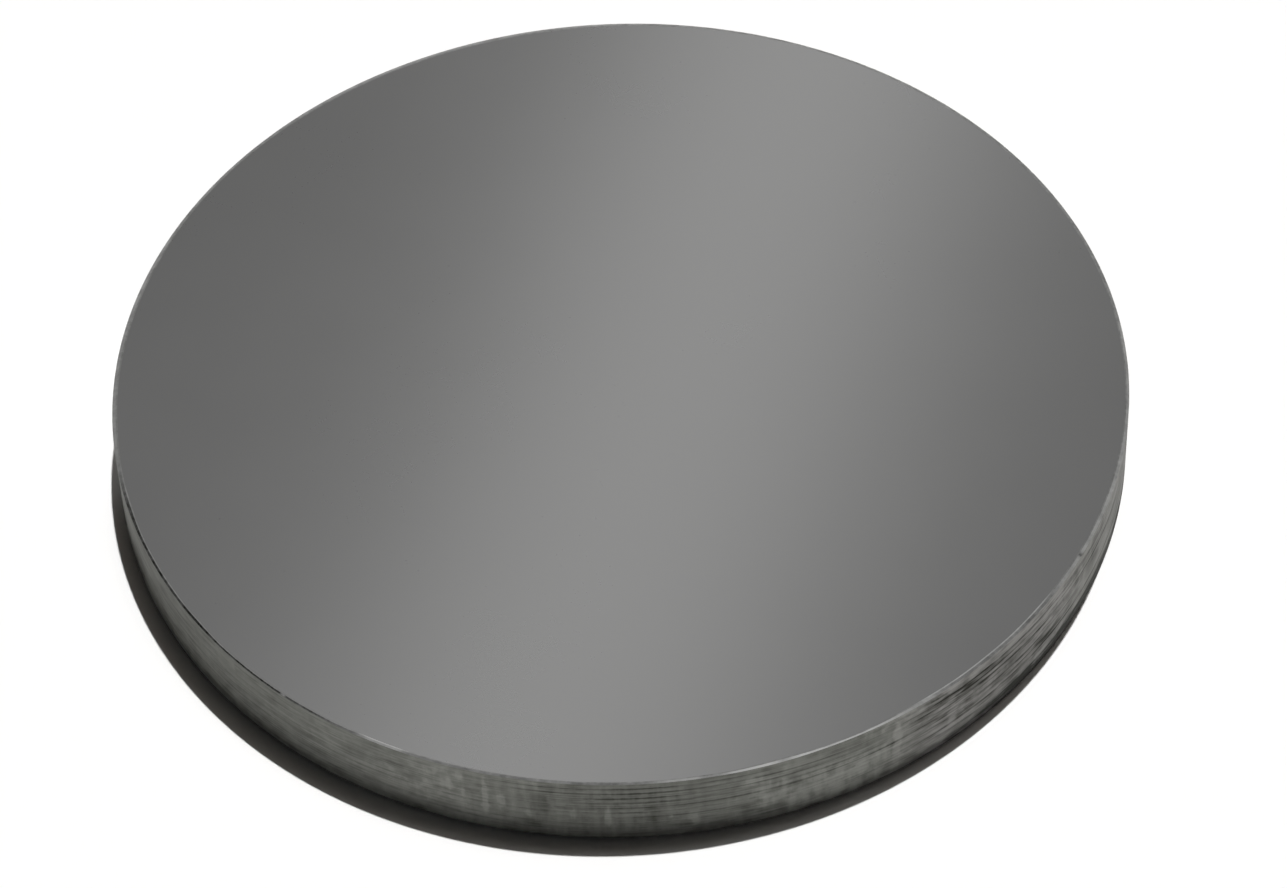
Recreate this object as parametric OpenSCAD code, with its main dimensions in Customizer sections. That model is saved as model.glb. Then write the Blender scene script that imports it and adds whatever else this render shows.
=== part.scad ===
// Sputter target: one plain round disc of bare metal.
// It is turned on the rim, ground on both faces and broken along both edges.
// The origin is the centre of the back face, and +Z points to the sputter face.

/* [Disc] */
// Diameter over the turned rim
disc_d = 76.2; // [25:0.1:205]
// Thickness from the back face to the sputter face
disc_t = 6.35; // [3:0.05:13]

/* [Edge breaks] */
// Width of the sputter face's edge break, measured across the face
face_break_w = 0.30; // [0.05:0.05:1]
// Height of the sputter face's edge break, measured down the rim
face_break_h = 0.10; // [0.05:0.05:1]
// Width of the back face's edge break, measured across the face
back_break_w = 0.30; // [0.05:0.05:1]
// Height of the back face's edge break, measured up the rim
back_break_h = 0.10; // [0.05:0.05:1]

/* [Hidden] */
$fn = 180;
// Bare grey of the ground metal
metal_grey = [0.49, 0.49, 0.48];
rim_r = disc_d / 2;
// Half of the disc's cross-section, from the axis out to the rim
half_section = [
    [0, 0],
    [rim_r - back_break_w, 0],
    [rim_r, back_break_h],
    [rim_r, disc_t - face_break_h],
    [rim_r - face_break_w, disc_t],
    [0, disc_t]
];

// The half section turned about the axis, as the disc is turned on a lathe
module target_disc() {
    color(metal_grey)
        rotate_extrude()
            polygon(half_section);
}

target_disc();
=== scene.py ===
# %% [markdown]
# A sputter target is a plain disc of pure metal. In a coating machine, ions knock atoms
# off its flat face, and the atoms settle on glass or silicon as a thin film. This one is
# gadolinium: both faces are ground to a satin grey, the rim is turned on a lathe and has
# darkened, and the two edges are broken by hand so that they don't cut.
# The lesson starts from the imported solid, which gives the true size. Everything is in
# metres, in the solid's own frame, with the back face on the floor at height zero.

# %% Load the frame
import math

import bpy
import numpy as np
from mathutils import Matrix, Vector


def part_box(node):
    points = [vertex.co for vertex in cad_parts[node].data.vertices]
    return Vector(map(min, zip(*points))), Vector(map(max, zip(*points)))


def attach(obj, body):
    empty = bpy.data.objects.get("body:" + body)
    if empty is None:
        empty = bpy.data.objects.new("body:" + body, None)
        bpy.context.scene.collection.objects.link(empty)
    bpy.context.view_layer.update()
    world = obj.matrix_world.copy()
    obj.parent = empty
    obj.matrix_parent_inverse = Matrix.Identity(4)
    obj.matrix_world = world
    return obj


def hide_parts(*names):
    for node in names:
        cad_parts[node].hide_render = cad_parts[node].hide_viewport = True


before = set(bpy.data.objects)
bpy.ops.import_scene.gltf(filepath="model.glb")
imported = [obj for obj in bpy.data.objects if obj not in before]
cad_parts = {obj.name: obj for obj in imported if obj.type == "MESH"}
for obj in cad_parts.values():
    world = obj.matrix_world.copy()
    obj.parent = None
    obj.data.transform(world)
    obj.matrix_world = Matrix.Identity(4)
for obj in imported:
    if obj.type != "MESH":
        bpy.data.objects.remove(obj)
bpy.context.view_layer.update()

MM = 0.001
low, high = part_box("target_disc")
rim_radius = (high.x - low.x) / 2
thickness = high.z - low.z
print(f"nodes in the frame: {len(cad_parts)}")
print(f"solid: {2 * rim_radius / MM:.2f} mm across, {thickness / MM:.2f} mm thick")

# %% [markdown]
# The camera comes first, because every later choice is judged through it. The outlines of
# the two faces in a photograph are ellipses, and a camera can be worked out from them: how
# far away it is, how high it looks from and how much it is rolled. Here it stands about
# ten radii from the disc, looks down at 49 degrees and leans slightly to one side. A long
# lens at that distance gives the face its nearly even ellipse.

# %% Set up the camera
LENS_MM = 141.64
EYE_DISTANCE = 380.0 * MM
LOOK_DOWN = math.radians(48.99)
ROLL = math.radians(-2.435)
AIM_RIGHT, AIM_UP = 1.78 * MM, -4.85 * MM
EDGE_DROP = 0.10 * MM
SENSOR_MM = 36
NEAREST, FARTHEST = 0.01, 20

ahead = Vector((0, math.cos(LOOK_DOWN), -math.sin(LOOK_DOWN)))
level = Vector((1, 0, 0))
upright = level.cross(ahead)
right = level * math.cos(ROLL) + upright * math.sin(ROLL)
upward = upright * math.cos(ROLL) - level * math.sin(ROLL)
widest_ring = Vector((0, 0, thickness - EDGE_DROP))
eye = widest_ring + AIM_RIGHT * right + AIM_UP * upward - EYE_DISTANCE * ahead

camera = bpy.data.objects.new("camera", bpy.data.cameras.new("camera"))
camera.data.lens = LENS_MM
camera.data.sensor_fit = "HORIZONTAL"
camera.data.sensor_width = SENSOR_MM
camera.data.clip_start = NEAREST
camera.data.clip_end = FARTHEST
camera_axes = Matrix((right, upward, -ahead)).transposed()
camera.matrix_world = Matrix.Translation(eye) @ camera_axes.to_4x4()
bpy.context.scene.collection.objects.link(camera)
bpy.context.scene.camera = camera
bpy.context.scene.view_settings.view_transform = "Standard"
print(f"camera: {[round(c / MM, 1) for c in eye]} mm from the origin")

# %% [markdown]
# Finishes are node trees, and long trees of Math nodes are hard to read when each node is
# made and linked by hand. Two small classes let the maths be written as Python instead. A
# Wire is one output of a node, and an operator on it adds the Math node. A Bench is the
# tree, and its one method makes any other node from its type, its settings and its sockets.

# %% Two helpers for node trees
class Wire:
    """One output of a node, on which Python's operators add Math nodes."""

    def __init__(self, bench, socket):
        self.bench, self.socket = bench, socket

    def __add__(self, other):
        return self.bench.maths("ADD", self, other)

    def __radd__(self, other):
        return self.bench.maths("ADD", other, self)

    def __sub__(self, other):
        return self.bench.maths("SUBTRACT", self, other)

    def __rsub__(self, other):
        return self.bench.maths("SUBTRACT", other, self)

    def __mul__(self, other):
        return self.bench.maths("MULTIPLY", self, other)

    def __rmul__(self, other):
        return self.bench.maths("MULTIPLY", other, self)


class Bench:
    """A node tree on which a finish is built up."""

    def __init__(self, tree):
        self.tree = tree
        tree.nodes.clear()

    def node(self, kind, settings=(), sockets=(), output=0):
        """Adds a node, sets it up, feeds its sockets and returns one of its outputs."""
        made = self.tree.nodes.new(kind)
        for name, value in dict(settings).items():
            if name == "stops":
                fill_ramp(made.color_ramp.elements, value)
            else:
                setattr(made, name, value)
        for key, value in dict(sockets).items():
            if isinstance(value, Wire):
                self.tree.links.new(value.socket, made.inputs[key])
            else:
                made.inputs[key].default_value = value
        return Wire(self, made.outputs[output]) if made.outputs else None

    def maths(self, operation, *values):
        """Adds a Math node."""
        return self.node("ShaderNodeMath", {"operation": operation}, enumerate(values))


def fill_ramp(elements, stops):
    """Sets a colour ramp to grey stops, given as (position, level)."""
    while len(elements) < len(stops):
        elements.new(1.0)
    for element, (position, grey) in zip(elements, stops):
        element.position = position
        element.color = (grey, grey, grey, 1)


print("helpers: Wire and Bench")

# %% [markdown]
# Bare metal has no colour of its own to speak of: it shows what is around it. So the room
# is designed as carefully as the disc. Its walls are white, its ceiling is grey with a
# lighter patch straight overhead, and a cove joins the two. A picture of a studio could do
# the same, but a ramp over the height of the direction needs no file and is easy to tune.
# The camera and the metal see all of the room. The matt floor gets only a hundredth of it,
# so that the lamps can draw a clear dark shadow there. The Light Path node tells the two
# apart, because it counts the diffuse bounces.

# %% Paint the room
WALLS, COVE, CEILING, OVERHEAD = 1.0, 0.595, 0.535, 0.75
FLOOR_FILL = 0.012

world = bpy.data.worlds.new("room")
bpy.context.scene.world = world
world.use_nodes = True
room = Bench(world.node_tree)
direction = room.node("ShaderNodeTexCoord")
height = room.node("ShaderNodeSeparateXYZ", {}, {0: direction}, "Z")
# From straight down at 0 to straight up at 1, and how bright the room is there
levels = [
    (0.0, WALLS), (0.52, WALLS), (0.75, COVE),
    (0.83, CEILING), (0.92, CEILING), (1.0, OVERHEAD),
]
around_us = room.node("ShaderNodeValToRGB", {"stops": levels}, {0: 0.5 * height + 0.5})
off_floor = room.maths("MINIMUM", room.node("ShaderNodeLightPath", output="Diffuse Depth"), 1)
dimmed = 1 - (1 - FLOOR_FILL) * off_floor
shine = room.node("ShaderNodeBackground", {}, {"Color": around_us, "Strength": dimmed})
room.node("ShaderNodeOutputWorld", {}, {"Surface": shine})
print(f"room: white walls, ceiling at {CEILING}")

# %% [markdown]
# The floor is a large matt white sheet. It could be a thick slab, but only its top ever
# shows, so one square is enough. It lies a hair below the disc so that the two never share
# a plane.

# %% Lay the floor
FLOOR_SIZE = 6.0
FLOOR_GAP = 0.02 * MM
PAPER_WHITE = (0.9, 0.9, 0.9, 1)

half = FLOOR_SIZE / 2
corners = [(-half, -half, 0), (half, -half, 0), (half, half, 0), (-half, half, 0)]
sheet = bpy.data.meshes.new("floor")
sheet.from_pydata(corners, [], [(0, 1, 2, 3)])
floor = bpy.data.objects.new("floor", sheet)
floor.location.z = -FLOOR_GAP
bpy.context.scene.collection.objects.link(floor)

paper = bpy.data.materials.new("white_paper")
paper.use_nodes = True
bench = Bench(paper.node_tree)
matt = bench.node("ShaderNodeBsdfDiffuse", {}, {"Color": PAPER_WHITE})
bench.node("ShaderNodeOutputMaterial", {}, {"Surface": matt})
sheet.materials.append(paper)
print(f"floor: {FLOOR_SIZE} m square")

# %% [markdown]
# A sun high up, behind and to the right, lights the floor and throws the narrow dark shadow
# that sets the disc down at the front left. One small sun alone would make that shadow one
# flat tone. A weak, very wide sun in the same place is the haze around it: its light creeps
# in under the edge, so the shadow is darkest at the foot and eases outwards. A weak glow from
# farther right lifts the shadow's right end. All three are kept out of the metal's
# reflections, because a sun would burn a spot into a satin face.

# %% Hang the suns
FROM_OVERHEAD = math.radians(15.3)
STRAIGHT_UP = Vector((0, 0, 1))
# Bearing in degrees, strength, spread in degrees and tint
SUNS = {
    "sun": (66.5, 3.25, 1.2, (1, 1, 1)),
    "haze": (66.5, 0.22, 30, (1, 0.89, 0.76)),
    "glow": (53, 0.17, 11, (1, 0.99, 0.95)),
}

def hang(name, kind, place, target):
    """Adds a lamp that looks from a place to a target."""
    lamp = bpy.data.objects.new(name, bpy.data.lights.new(name, kind))
    lamp.location = place
    lamp.rotation_euler = (target - place).to_track_quat("-Z", "Y").to_euler()
    lamp.visible_camera = False
    bpy.context.scene.collection.objects.link(lamp)
    return lamp

for name, (bearing, power, spread, tint) in SUNS.items():
    around = math.radians(bearing)
    across = Vector((math.cos(around), math.sin(around), 0))
    place = math.sin(FROM_OVERHEAD) * across + math.cos(FROM_OVERHEAD) * STRAIGHT_UP
    sun = hang(name, "SUN", place, Vector())
    sun.data.energy = power
    sun.data.angle = math.radians(spread)
    sun.data.color = tint
    sun.visible_glossy = False
    print(f"{name}: strength {power}, {spread} degrees wide")

# %% [markdown]
# With the suns alone, the shadow's left end starts abruptly. Another weak sun would lift it,
# but would also throw a second shadow at the front. A small spot from the left, with a soft
# cone some twenty millimetres wide, lifts that end and nothing else. The floor around is
# white already, so the spot only shows inside the shadow.

# %% Hang the fill spot
FILL_AIM = Vector((-rim_radius - 0.5 * MM, 3.5 * MM, 0))
FILL_PLACE = FILL_AIM + Vector((-51.4, 0, 60)) * MM
FILL_WATTS = 0.021
FILL_CONE = math.radians(15)
FILL_BULB = 2 * MM

fill = hang("fill", "SPOT", FILL_PLACE, FILL_AIM)
fill.data.energy = FILL_WATTS
fill.data.spot_size = FILL_CONE
fill.data.spot_blend = 1.0
fill.data.shadow_soft_size = FILL_BULB
fill.visible_glossy = False
print(f"fill: {(FILL_PLACE - FILL_AIM).length / MM:.0f} mm from the shadow's left end")

# %% [markdown]
# The last lamp is a long narrow light box, hung over the disc. A satin face smears its
# reflection into a soft band of light. To put the band where it should be, start from the
# line on the face and ask which place overhead the camera sees mirrored at each end of it:
# those two places tell how the box hangs. It is made longer at both ends, so that its ends
# never show, and it hangs lower at the back, because the band there is a little narrower.
# It shines on metal only, and leaves the floor to the suns.

# %% Hang the light box
BAND_CROSSES_X = 0.133 * rim_radius
BAND_LEAN = math.radians(17.9)
BOX_OVER_FRONT, BOX_OVER_BACK = 154 * MM, 132 * MM
BOX_PAST_BAND = 110 * MM
BOX_WIDTH = 38.3 * MM
BOX_RADIANCE = 1.19

band_middle = Vector((BAND_CROSSES_X, 0, thickness))
band_along = Vector((math.sin(BAND_LEAN), math.cos(BAND_LEAN), 0))
mirrored_eye = Vector((eye.x, eye.y, 2 * thickness - eye.z))

def over_band(from_middle, height):
    """The place, so high over the face, that the camera sees mirrored in a point of the band."""
    point = band_middle + from_middle * band_along
    return point + (point - mirrored_eye) * (height / (eye.z - thickness))

front_end = over_band(-rim_radius, BOX_OVER_FRONT)
back_end = over_band(rim_radius, BOX_OVER_BACK)
box_place = (front_end + back_end) / 2
box_length = (back_end - front_end).length + 2 * BOX_PAST_BAND
lengthwise = (back_end - front_end).normalized()
shines = band_middle - box_place
shines = (shines - shines.dot(lengthwise) * lengthwise).normalized()

light_box = hang("light_box", "AREA", box_place, band_middle)
box_axes = Matrix((shines.cross(lengthwise), lengthwise, -shines)).transposed()
light_box.rotation_euler = box_axes.to_euler()
light_box.data.shape = "RECTANGLE"
light_box.data.size = BOX_WIDTH
light_box.data.size_y = box_length
light_box.data.energy = BOX_RADIANCE * math.pi * BOX_WIDTH * box_length
light_box.visible_diffuse = False
print(f"light box: {box_length / MM:.0f} mm long at {[round(c / MM) for c in box_place]} mm")

# %% [markdown]
# Each finish is a Principled shader set to metal, and all three need the same few steps.
# Noise can be stretched, because its place is multiplied along each axis before it is read.
# A smooth step turns noise into patches with soft ends, and a Mix node lays one colour over
# another. The Specular Tint of a metal is its tint at a glancing angle.

# %% Helpers for the finishes
def start_finish(name):
    """A new material with its bench and the place of each point on the disc."""
    material = bpy.data.materials.new(name)
    material.use_nodes = True
    bench = Bench(material.node_tree)
    return material, bench, bench.node("ShaderNodeTexCoord", output="Object")

def grain(bench, place, stretch, detail=2.0):
    """Noise from 0 to 1, with so many specks to the metre along each axis."""
    spread = bench.node("ShaderNodeVectorMath", {"operation": "MULTIPLY"}, {0: place, 1: stretch})
    return bench.node("ShaderNodeTexNoise", {}, {"Vector": spread, "Scale": 1.0, "Detail": detail})

def ease(bench, value, start, end):
    """Rises smoothly from 0 to 1 while a value goes from start to end."""
    ends = {"Value": value, "From Min": start, "From Max": end}
    return bench.node("ShaderNodeMapRange", {"interpolation_type": "SMOOTHSTEP"}, ends)

def blend(bench, factor, first, second):
    """Mixes two colours."""
    return bench.node("ShaderNodeMix", {"data_type": "RGBA"}, {0: factor, 6: first, 7: second}, 2)

def finish_metal(bench, colour, roughness, relief, depth, glance=1.0, metallic=1.0):
    """Metal with a colour, a roughness and a fine relief, tinted where it is seen at a glance."""
    bump = bench.node("ShaderNodeBump", {}, {"Height": relief, "Distance": depth, "Strength": 1.0})
    sockets = {"Base Color": colour, "Metallic": metallic, "Roughness": roughness, "Normal": bump}
    sockets["Specular Tint"] = (glance, glance, glance, 1)
    metal = bench.node("ShaderNodeBsdfPrincipled", {}, sockets)
    bench.node("ShaderNodeOutputMaterial", {}, {"Surface": metal})

print("helpers: start_finish, grain, ease, blend and finish_metal")

# %% [markdown]
# The sputter face and the back face are ground. From a step away they are even satin metal,
# and close up they show a fine grain, short grinding lines that cross each other, and a
# faint cloudiness. The lines could be cut into the mesh, but they are far too fine, so they
# are noise, drawn out long and turned three ways. All of it is kept weak, because the real
# face looks very smooth: it shifts the colour and the roughness by a few hundredths.

# %% Finish of the ground faces
FACE_DARK, FACE_LIGHT = (0.190, 0.190, 0.1885, 1), (0.220, 0.220, 0.218, 1)
FACE_ROUGHNESS = 0.28
FACE_RELIEF = 0.00002 * MM
CLOUDS, SPECKS = (70, 70, 70), (2600, 2600, 2600)
GRINDING_LINES = (220, 6000, 100)
GRINDING_TURNS = (20, 75, 140)

ground_face, bench, place = start_finish("ground_face")
cloud = grain(bench, place, CLOUDS) - 0.5
speck = grain(bench, place, SPECKS) - 0.5
lines = 0
for turn in GRINDING_TURNS:
    turning = {"Vector": place, "Angle": math.radians(turn)}
    turned = bench.node("ShaderNodeVectorRotate", {"rotation_type": "Z_AXIS"}, turning)
    lines = lines + ease(bench, grain(bench, turned, GRINDING_LINES), 0.60, 0.75)
tone = 0.5 + 0.5 * cloud + 0.05 * speck + 0.02 * lines
sheen = FACE_ROUGHNESS + 0.03 * cloud + 0.004 * speck - 0.003 * lines
colour = blend(bench, tone, FACE_DARK, FACE_LIGHT)
finish_metal(bench, colour, sheen, lines + speck, FACE_RELIEF)
print(f"ground_face: {len(ground_face.node_tree.nodes)} nodes")

# %% [markdown]
# The rim is turned, and its oxide has streaks, smears and blotches of many sizes. They could
# be painted on a picture that is wrapped around the rim, but noise stays sharp from any
# distance. Noise drawn out along the rim gives the fine streaks, noise drawn out upwards the
# smears, and round noise the mottled oxide. On the right the tool tore the metal a little,
# which shows as short fibres and dark clots. The mesh below carries values at each point,
# such as how much the rim was smeared or torn there, and the Attribute node reads them.

# %% Grain of the turned rim
def marked(bench, name):
    """A value that the mesh carries at each point."""
    return bench.node("ShaderNodeAttribute", {"attribute_name": name}, output="Fac")

turned_rim, bench, place = start_finish("turned_rim")
# Specks to the metre along X, Y and Z, where Z runs up the rim
fine = grain(bench, place, (40, 40, 7000), 3.0) - 0.5
streak = grain(bench, place, (320, 320, 4500), 3.0) - 0.5
smear = (grain(bench, place, (1500, 1500, 240), 2.0) - 0.5) * marked(bench, "smeared")
mottle = grain(bench, place, (1100, 1100, 1100), 3.0) - 0.5
patch = grain(bench, place, (170, 170, 260), 3.0) - 0.5
fibre = grain(bench, place, (480, 480, 3600), 4.0) - 0.5
clot = grain(bench, place, (330, 330, 700), 3.0) - 0.5
torn = (fibre + 0.8 * clot) * marked(bench, "torn")
print(f"grain of the rim: {len(turned_rim.node_tree.nodes)} nodes")

# %% [markdown]
# Now the grain is put together with the rim's other marks. The tool leaves a shallow groove
# at each turn, and dark oxide sits in it: the mesh carries how deep the groove is, so the
# dark lines follow the true grooves. Patches that were wiped lighter or are stained are
# plain ovals on the mesh, and the grain frays their outlines. Oxide is a poor mirror at a
# glancing angle, hence the glancing tint. The mesh also carries painted shade and painted
# reflection, which make the rim darker or lighter by angle and darker towards the foot. Along
# the foot at the right lies a painted contact shadow, a dark coat with no metal in it, so the
# Metallic value falls to zero there. Otherwise that part, seen at a low angle, would mirror
# the white floor.

# %% Finish of the turned rim
RIM_DARK = (0.024, 0.024, 0.019, 1)
RIM_LIGHT, RIM_WARM = (0.255, 0.260, 0.240, 1), (0.263, 0.259, 0.249, 1)
RIM_TONE, RIM_ROUGHNESS = 0.60, 0.54
RIM_RELIEF = 0.002 * MM
RIM_GLANCE = 0.68

frayed = 2.0 * mottle + 1.2 * patch
wiped = ease(bench, marked(bench, "wiped") + frayed + 1.6 * smear, 0.25, 1.00)
stain = ease(bench, marked(bench, "stain") + frayed + 1.6 * streak, 0.30, 0.80)
broken = 0.5 * patch + 0.4 * streak + 0.5 * torn
groove_line = ease(bench, marked(bench, "groove") + broken, 0.10, 0.90)
# Painted contact shadow along the foot at the right: darker, rougher and with no metal
film = ease(bench, marked(bench, "film") + 0.5 * streak + 0.4 * patch, 0.10, 0.65)
# Painted shade and painted reflection: the marked shading darkens the rim on the left and towards
# the foot, and lightens it at the far right
tone = RIM_TONE + marked(bench, "shade") + 0.45 * fine + 0.75 * streak + 0.50 * smear
tone = tone + 0.60 * mottle + 0.50 * patch + 1.80 * torn
tone = tone - 0.36 * groove_line + 0.22 * wiped - 0.22 * stain - 0.70 * film
sheen = RIM_ROUGHNESS + 0.20 * mottle + 0.10 * groove_line + 0.30 * film
lightest = blend(bench, marked(bench, "torn"), RIM_LIGHT, RIM_WARM)
colour = blend(bench, tone, RIM_DARK, lightest)
finish_metal(bench, colour, sheen, fine + streak, RIM_RELIEF, RIM_GLANCE, 1 - film)
print(f"turned_rim: {len(turned_rim.node_tree.nodes)} nodes")

# %% [markdown]
# The edge breaks are narrow flats, filed by hand. Some stretches are bright and some are dark:
# partly burnished and dull metal, partly painted highlight and painted dark reflection. Two
# finishes could be dealt out along the edge, but the change is gradual, so there is one
# finish, and the mesh carries how bright it is as one value around zero. Fine round noise
# stands for the marks of the file.

# %% Finish of the broken edges
EDGE_DARK, EDGE_BRIGHT = (0.02, 0.02, 0.018, 1), (0.62, 0.62, 0.61, 1)
EDGE_TONE, EDGE_ROUGHNESS = 0.40, 0.32
EDGE_RELIEF = 0.001 * MM
EDGE_GLANCE = 0.8
FILE_MARKS = (2600, 2600, 2600)

broken_edge, bench, place = start_finish("broken_edge")
file_mark = grain(bench, place, FILE_MARKS, 3.0) - 0.5
# The marked brightness is partly burnished and dull metal, partly painted highlight and painted
# dark reflection
tone = EDGE_TONE + 0.60 * marked(bench, "edge_tone") + 0.40 * file_mark
sheen = EDGE_ROUGHNESS + 0.15 * file_mark
colour = blend(bench, tone, EDGE_DARK, EDGE_BRIGHT)
finish_metal(bench, colour, sheen, file_mark, EDGE_RELIEF, EDGE_GLANCE)
print(f"broken_edge: {len(broken_edge.node_tree.nodes)} nodes")

# %% [markdown]
# The disc is one turned shape, so its mesh is a stack of rings: over the upper edge break,
# down the rim groove by groove, and over the lower break. Each face is one flat polygon
# inside the first or the last ring. Blender's Screw modifier turns a profile about an axis,
# but it makes every ring plain. Here each ring has its own radius and height at every
# angle, so that what was done by hand can vary along the edge. Three helpers describe such
# changes: a stretch between two angles, a sum of stretches, and a smooth random value.

# %% Helpers around the disc
SEGMENTS = 1080
angle = np.arange(SEGMENTS) * (2 * math.pi / SEGMENTS)
degrees = np.degrees(angle)
chance = np.random.RandomState(64)

def stretch(start, end, soft):
    """1 between two angles in degrees and 0 outside, with soft ends."""
    middle, reach = (start + end) / 2, (end - start) / 2
    away = np.abs((degrees - middle + 180) % 360 - 180)
    return np.clip((reach + soft / 2 - away) / soft, 0, 1)

def along(stretches):
    """Sums stretches, each an amount, its first and last angle and how soft its ends are."""
    return sum(amount * stretch(start, end, soft) for amount, start, end, soft in stretches)

def wander(knots):
    """A smooth random value from 0 to 1 around the disc, with so many knots."""
    values = chance.rand(knots)
    at = degrees / 360 * knots
    first = at.astype(int) % knots
    share = at % 1
    share = share * share * (3 - 2 * share)
    return values[first] * (1 - share) + values[(first + 1) % knots] * share

print(f"around the disc: {SEGMENTS} points to a ring")

# %% [markdown]
# The edge break was filed by hand, so its width and its drop vary. Its brightness varies too,
# partly as burnished and dull metal and partly as painted highlight and painted dark
# reflection. The lists say where, each entry an amount between two angles, with the camera at
# 270 degrees. Sizes are in millimetres from here on. There is one brightness for the hairline
# beside the face and one for the flat outside it. The last two entries of the flat's list are
# a bright nick and a dark one, each about half a degree long.

# %% Values along the edge
BREAK_WIDTH, NARROWEST, WIDEST = 0.30, 0.08, 0.42
WIDTHS = [
    (-0.08, 200, 238, 6), (-0.08, 217, 238, 4), (-0.13, 238, 284, 6), (0.03, 239, 245, 2),
    (-0.14, 288, 298, 6), (0.10, 80, 132, 12), (0.08, 155, 188, 8),
]
SHALLOWER = [(-0.4, 288, 326, 4)]
HAIRLINE_BURNISH_AND_REFLECTION = [(0.1, 190, 238, 4), (0.8, 239.5, 245, 1.5), (0.5, 302, 323, 4)]
FLAT_BURNISH_AND_REFLECTION = [
    (-0.58, 193, 231, 8), (-0.3, 231, 238, 5), (0.4, 239.5, 245, 1.5), (0.5, 272, 279, 4),
    (1.2, 280, 285, 2), (0.9, 286, 299, 4), (0.3, 299, 305, 4), (-0.1, 307, 322, 4),
    (0.45, 324, 340, 6), (0.35, 340, 347, 6), (0.30, 347, 368, 8), (0.2, 84, 128, 10),
    (0.2, 155, 188, 8), (0.9, 229.0, 229.4, 0.3), (-0.8, 329.9, 330.3, 0.3),
]

break_width = BREAK_WIDTH + along(WIDTHS) + 0.03 * (wander(90) - 0.5)
break_width = np.clip(break_width, NARROWEST, WIDEST)
break_height = (EDGE_DROP / MM) * (1 + along(SHALLOWER))
# Brightness of the hairline and of the flat: partly burnished and dull metal, partly painted
# highlight and painted dark reflection
hairline_burnish_and_reflection = along(HAIRLINE_BURNISH_AND_REFLECTION) + 0.15 * (wander(180) - 0.5)
uneven = 1 - 0.8 * stretch(190, 238, 6)
flat_burnish_and_reflection = along(FLAT_BURNISH_AND_REFLECTION) + 0.25 * (wander(300) - 0.5) * uneven
print(f"edge break: {break_width.min():.2f} to {break_width.max():.2f} mm wide")

# %% [markdown]
# The feed of the tool sets the distance from groove to groove, and a slight waver in it
# shows as lines that rise and fall together. Not every groove kept its dark oxide: WORN_IN
# lists where one is plain to see, by number, from and to which angle, and how dark.
# Around the back, which no photograph shows, chance makes stretches of the same kind.

# %% Grooves of the rim
GROOVES = 9
GROOVE_PITCH = 0.55
FIRST_GROOVE = 0.64
WORN_IN = [
    (0, 257, 285, 0.5), (1, 258, 300, 0.5), (1, 301, 335, 1.1), (2, 262, 297, 0.5),
    (2, 301, 335, 0.8), (3, 264, 298, 0.5), (3, 305, 342, 1.2), (4, 232, 251, 0.35),
    (4, 264, 288, 0.55), (4, 286, 306, 0.9), (4, 307, 314, 0.6), (5, 266, 273, 0.4),
    (5, 311, 329, 0.8), (6, 268, 292, 0.35), (6, 310, 325, 0.7), (7, 301, 345, 1.2),
    (2, 228, 246, 0.35),
]

waver = 0.28 * stretch(306, 322, 24) + 0.06 * (wander(24) - 0.5)
strength = np.array([0.12 * wander(60) for _ in range(GROOVES)])
for turn in range(GROOVES):
    strength[turn] += np.clip(wander(30) * 2 - 0.8, 0, 1) * stretch(345, 540, 20)
for turn, start, end, dark in WORN_IN:
    strength[turn] += dark * stretch(start, end, 3) * (0.6 + 0.7 * wander(120))
print(f"rim: {GROOVES} grooves, {GROOVE_PITCH} mm apart")

# %% [markdown]
# The rim isn't the same all around. The first list says where it is darker or lighter on the
# whole: darker on the left, which is painted shade for the floor's shadow that the rim would
# mirror there, lighter at the far right, which is painted reflection of the white floor, and a
# little lighter or darker in front. SMEARS says where it was rubbed upwards and TEARS where
# the tool tore the metal. Painted shade darkens the foot everywhere, and on the left it
# reaches more than half of the way up. A painted contact shadow lies along the foot at the
# right only.

# %% Oxide and painted shading of the rim
OXIDE_AND_PAINTED_SHADING = [
    (-0.15, 170, 203, 16), (-0.10, 192, 230, 10), (-0.08, 256, 281, 6), (0.09, 297, 308, 6),
    (-0.05, 310, 317, 4), (0.07, 323, 352, 6), (0.05, 339, 354, 6),
]
SMEARS = [(0.6, 249, 272, 8), (0.3, 272, 300, 6), (0.5, 326, 352, 8)]
TEARS = [(1.0, 301, 329, 8), (0.7, 331, 352, 8)]

shade = along(OXIDE_AND_PAINTED_SHADING)
smeared = 0.3 + along(SMEARS)
tears = along(TEARS)
# Painted shade towards the foot, reaching farther up on the left, where the rim would mirror the
# floor's shadow
painted_shade_left = stretch(165, 214, 20)
painted_foot_shade = 0.08 + 0.26 * painted_shade_left
painted_shade_reach = 1.8 + 1.9 * painted_shade_left
# Painted contact shadow, along the foot at the right only
contact_shade_right = stretch(313, 347, 22)
print(f"oxide: the foot is dark up to {painted_shade_reach.max():.1f} mm")

# %% [markdown]
# Some marks on the rim are plain to see one by one: places that were wiped lighter, and
# darker stains. Each could be a decal, a thin piece laid on the rim, but the real disc has
# no such pieces. So each is a soft oval in a list: its angle, its height, half its width in
# degrees, half its height and how strong it is. The finish frays them.

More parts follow.
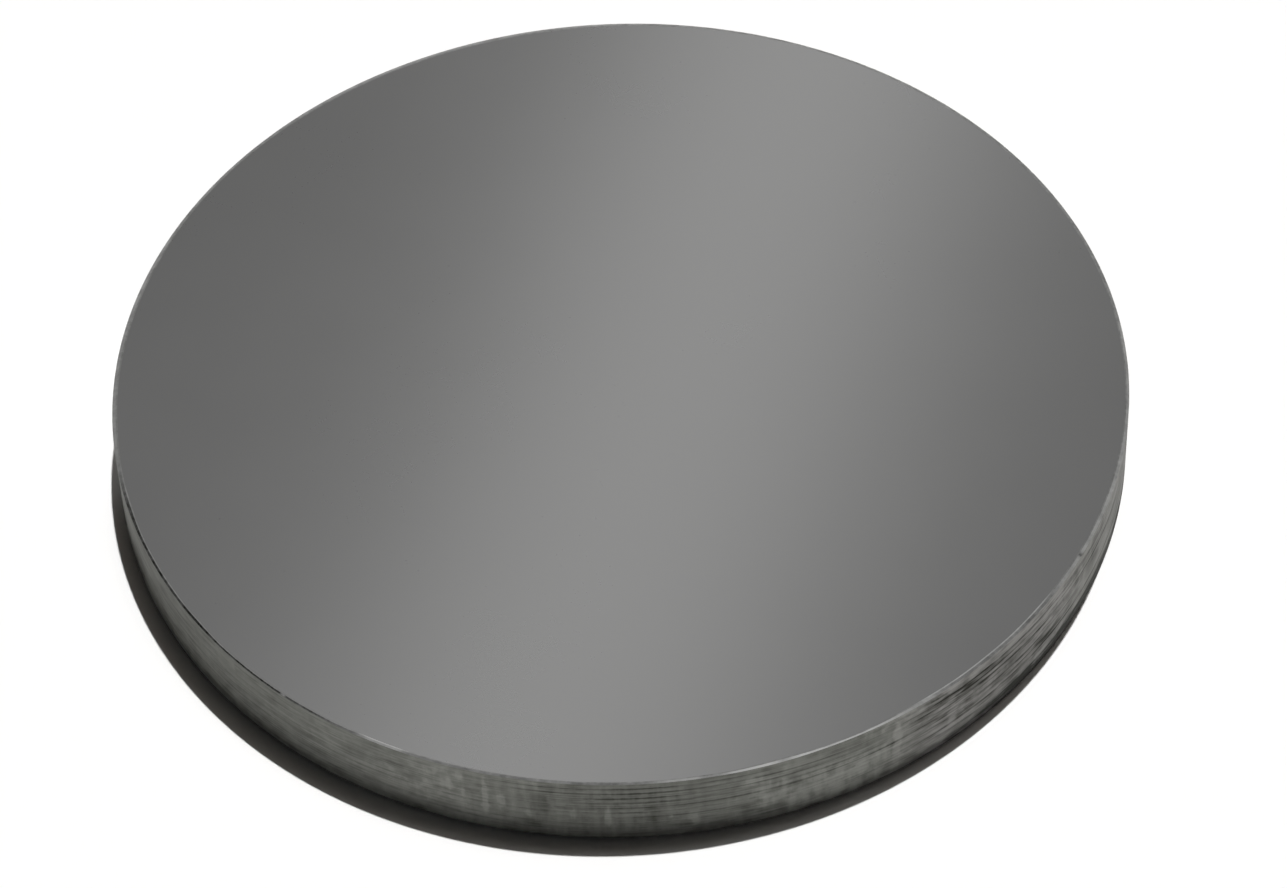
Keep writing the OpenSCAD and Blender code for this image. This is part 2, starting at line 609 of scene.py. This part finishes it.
# %% Patches over the rim
WIPED = [
    (253.7, 3.9, 0.35, 2.3, 1.6), (255.6, 3.6, 0.3, 1.8, 0.9), (258.4, 2.4, 0.7, 0.5, 0.9),
    (263.3, 2.8, 0.4, 0.8, 0.9), (266.9, 2.4, 0.4, 1.5, 1.0), (276.0, 1.7, 0.8, 0.9, 0.9),
    (282.4, 4.8, 1.4, 0.6, 1.1), (283.4, 2.6, 0.7, 1.5, 1.1), (291.5, 2.2, 9.0, 2.2, 0.8),
    (299.4, 3.5, 0.7, 2.7, 1.3), (307.0, 2.6, 1.2, 1.4, 1.1), (322.2, 1.1, 3.5, 0.8, 0.9),
    (247.0, 4.0, 9.0, 2.5, 0.35), (320.0, 6.0, 26.0, 0.6, 1.1), (325.0, 4.8, 6.0, 1.2, 0.9),
]
STAIN = [
    (259.6, 3.6, 1.6, 1.4, 0.8), (271.6, 2.6, 1.3, 1.5, 0.9), (303.4, 4.4, 3.0, 0.8, 0.9),
    (308.4, 4.7, 2.2, 0.7, 1.0), (309.2, 3.0, 0.9, 1.0, 1.0), (314.3, 5.1, 3.4, 0.4, 1.0),
    (321.2, 3.5, 2.0, 0.9, 1.0), (268.0, 3.4, 12.0, 3.2, 0.5), (315.0, 3.9, 11.0, 1.5, 0.5),
]

def spots(patches, heights):
    """How far each point of a ring lies inside any of the patches."""
    total = np.zeros_like(heights)
    for at, height, wide, tall, amount in patches:
        across = ((degrees - at + 180) % 360 - 180) / wide
        up = (heights - height) / tall
        total = np.maximum(total, amount * np.exp(-across ** 2 - up ** 4))
    return total

print(f"patches: {len(WIPED)} wiped, {len(STAIN)} stained")

# %% [markdown]
# Now the rings are stacked. Each carries its radius, its height and the values that the
# finishes read, and a list keeps which finish lies between it and the next ring. A groove
# takes six rings, and an edge break five. The plain part at the foot has a few rings too,
# because a value can only change where there is a ring.

# %% Stack the rings
GROOVE_DEPTH, DEEPEST = 0.012, 1.3
# Share of the pitch and of the depth
GROOVE_SECTION = ((0.0, 0.0), (0.22, 0.1), (0.40, 0.65), (0.5, 1.0), (0.60, 0.65), (0.78, 0.1))
# Share of the width and of the drop
BREAK_PATH = ((0.0, 0.0), (0.30, 0.20), (0.36, 0.26), (0.88, 0.84), (1.0, 1.0))
HAIRLINE_RINGS = 2
FOOT_RINGS = (0.95, 0.75, 0.55, 0.3)
# Painted contact shadow: the height below which it sets in, and over how much height it grows
CONTACT_SHADE_FROM, CONTACT_SHADE_SOFT = 1.35, 0.6
FACE, RIM, EDGE = range(3)
R, T = rim_radius / MM, thickness / MM
full = np.ones(SEGMENTS)
rings, finishes, marks = [], [], []

def ring(radius, height, finish, **values):
    """Adds a ring of points, with the finish that lies between it and the next ring."""
    height = height * full
    # Painted shade, growing towards the foot
    painted_shade_share = np.clip(1 - height / painted_shade_reach, 0, 1)
    # Painted contact shadow in the lowest part of the rim
    film = contact_shade_right * np.clip((CONTACT_SHADE_FROM - height) / CONTACT_SHADE_SOFT, 0, 1)
    values.update(shade=shade - painted_foot_shade * painted_shade_share, smeared=smeared, torn=tears, film=film)
    values.update(wiped=spots(WIPED, height), stain=spots(STAIN, height))
    rings.append((radius * full, height))
    finishes.append(finish)
    marks.append(values)

for step, (out, down) in enumerate(BREAK_PATH):
    tone = hairline_burnish_and_reflection if step < HAIRLINE_RINGS else flat_burnish_and_reflection
    ring(R - break_width * (1 - out), T - break_height * down, EDGE, edge_tone=tone)
finishes[-1] = RIM
for turn in range(GROOVES):
    for share, dip in GROOVE_SECTION:
        groove = dip * np.clip(strength[turn], 0, DEEPEST)
        height = T - FIRST_GROOVE + waver - GROOVE_PITCH * (turn + share - 0.5)
        ring(R - GROOVE_DEPTH * groove, height, RIM, groove=groove)
for height in FOOT_RINGS:
    ring(R, height, RIM)
for out, down in reversed(BREAK_PATH):
    ring(R - break_width[::-1] * (1 - out), break_height[::-1] * down, EDGE)
finishes[-1] = FACE
print(f"rings: {len(rings)} of {SEGMENTS} points")

# %% [markdown]
# The rings become one mesh. Between two rings, each point and its neighbour make a square
# with the points below them. Adding the squares one by one with Blender's operators would be
# slow, so numpy works out all of them at once, and from_pydata takes the lists. Each square
# gets the finish that was kept for its ring.

# %% Make the mesh
radii, heights = np.array(rings).transpose(1, 0, 2) * MM
points = np.stack([radii * np.cos(angle), radii * np.sin(angle), heights], axis=-1)
index = np.arange(len(rings) * SEGMENTS).reshape(len(rings), SEGMENTS)
after = np.roll(index, -1, axis=1)
quads = np.stack([index[:-1], index[1:], after[1:], after[:-1]], axis=-1).reshape(-1, 4)
faces = quads.tolist() + [index[0].tolist(), index[-1][::-1].tolist()]

disc_mesh = bpy.data.meshes.new("target")
disc_mesh.from_pydata(points.reshape(-1, 3).tolist(), [], faces)
disc_mesh.polygons.foreach_set("use_smooth", [True] * len(faces))
zone = np.repeat(finishes[:-1], SEGMENTS).tolist() + [FACE, FACE]
disc_mesh.polygons.foreach_set("material_index", zone)
for material in (ground_face, turned_rim, broken_edge):
    disc_mesh.materials.append(material)
print(f"mesh: {len(faces)} faces")

# %% [markdown]
# The values are stored as attributes, one number to a point, which the finishes read by
# name. The whole mesh is shaded smooth, as a turned part is, so the few edges that are
# really crisp are marked sharp: the inner and outer edge of both edge breaks.

# %% Add the values and the crisp edges
for name in ("groove", "wiped", "stain", "shade", "smeared", "torn", "film", "edge_tone"):
    over_disc = np.array([values.get(name, 0) * full for values in marks], dtype=np.float32)
    disc_mesh.attributes.new(name, "FLOAT", "POINT").data.foreach_set("value", over_disc.ravel())

ends = np.empty(2 * len(disc_mesh.edges), dtype=np.int32)
disc_mesh.edges.foreach_get("vertices", ends)
ring_of = ends.reshape(-1, 2) // SEGMENTS
crisp = [0, len(BREAK_PATH) - 1, len(rings) - len(BREAK_PATH), len(rings) - 1]
sharp = (ring_of[:, 0] == ring_of[:, 1]) & np.isin(ring_of[:, 0], crisp)
disc_mesh.attributes.new("sharp_edge", "BOOLEAN", "EDGE").data.foreach_set("value", sharp)
disc_mesh.validate()
disc_mesh.update()
triangles = sum(len(p.vertices) - 2 for p in disc_mesh.polygons)
print(f"target: {triangles} triangles")

# %% [markdown]
# The mesh stands for the imported solid: it hides that node and rides on the one body.

# %% Put it in place
target = bpy.data.objects.new("target", disc_mesh)
bpy.context.scene.collection.objects.link(target)
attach(target, "root")
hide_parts("target_disc")

bpy.context.view_layer.update()
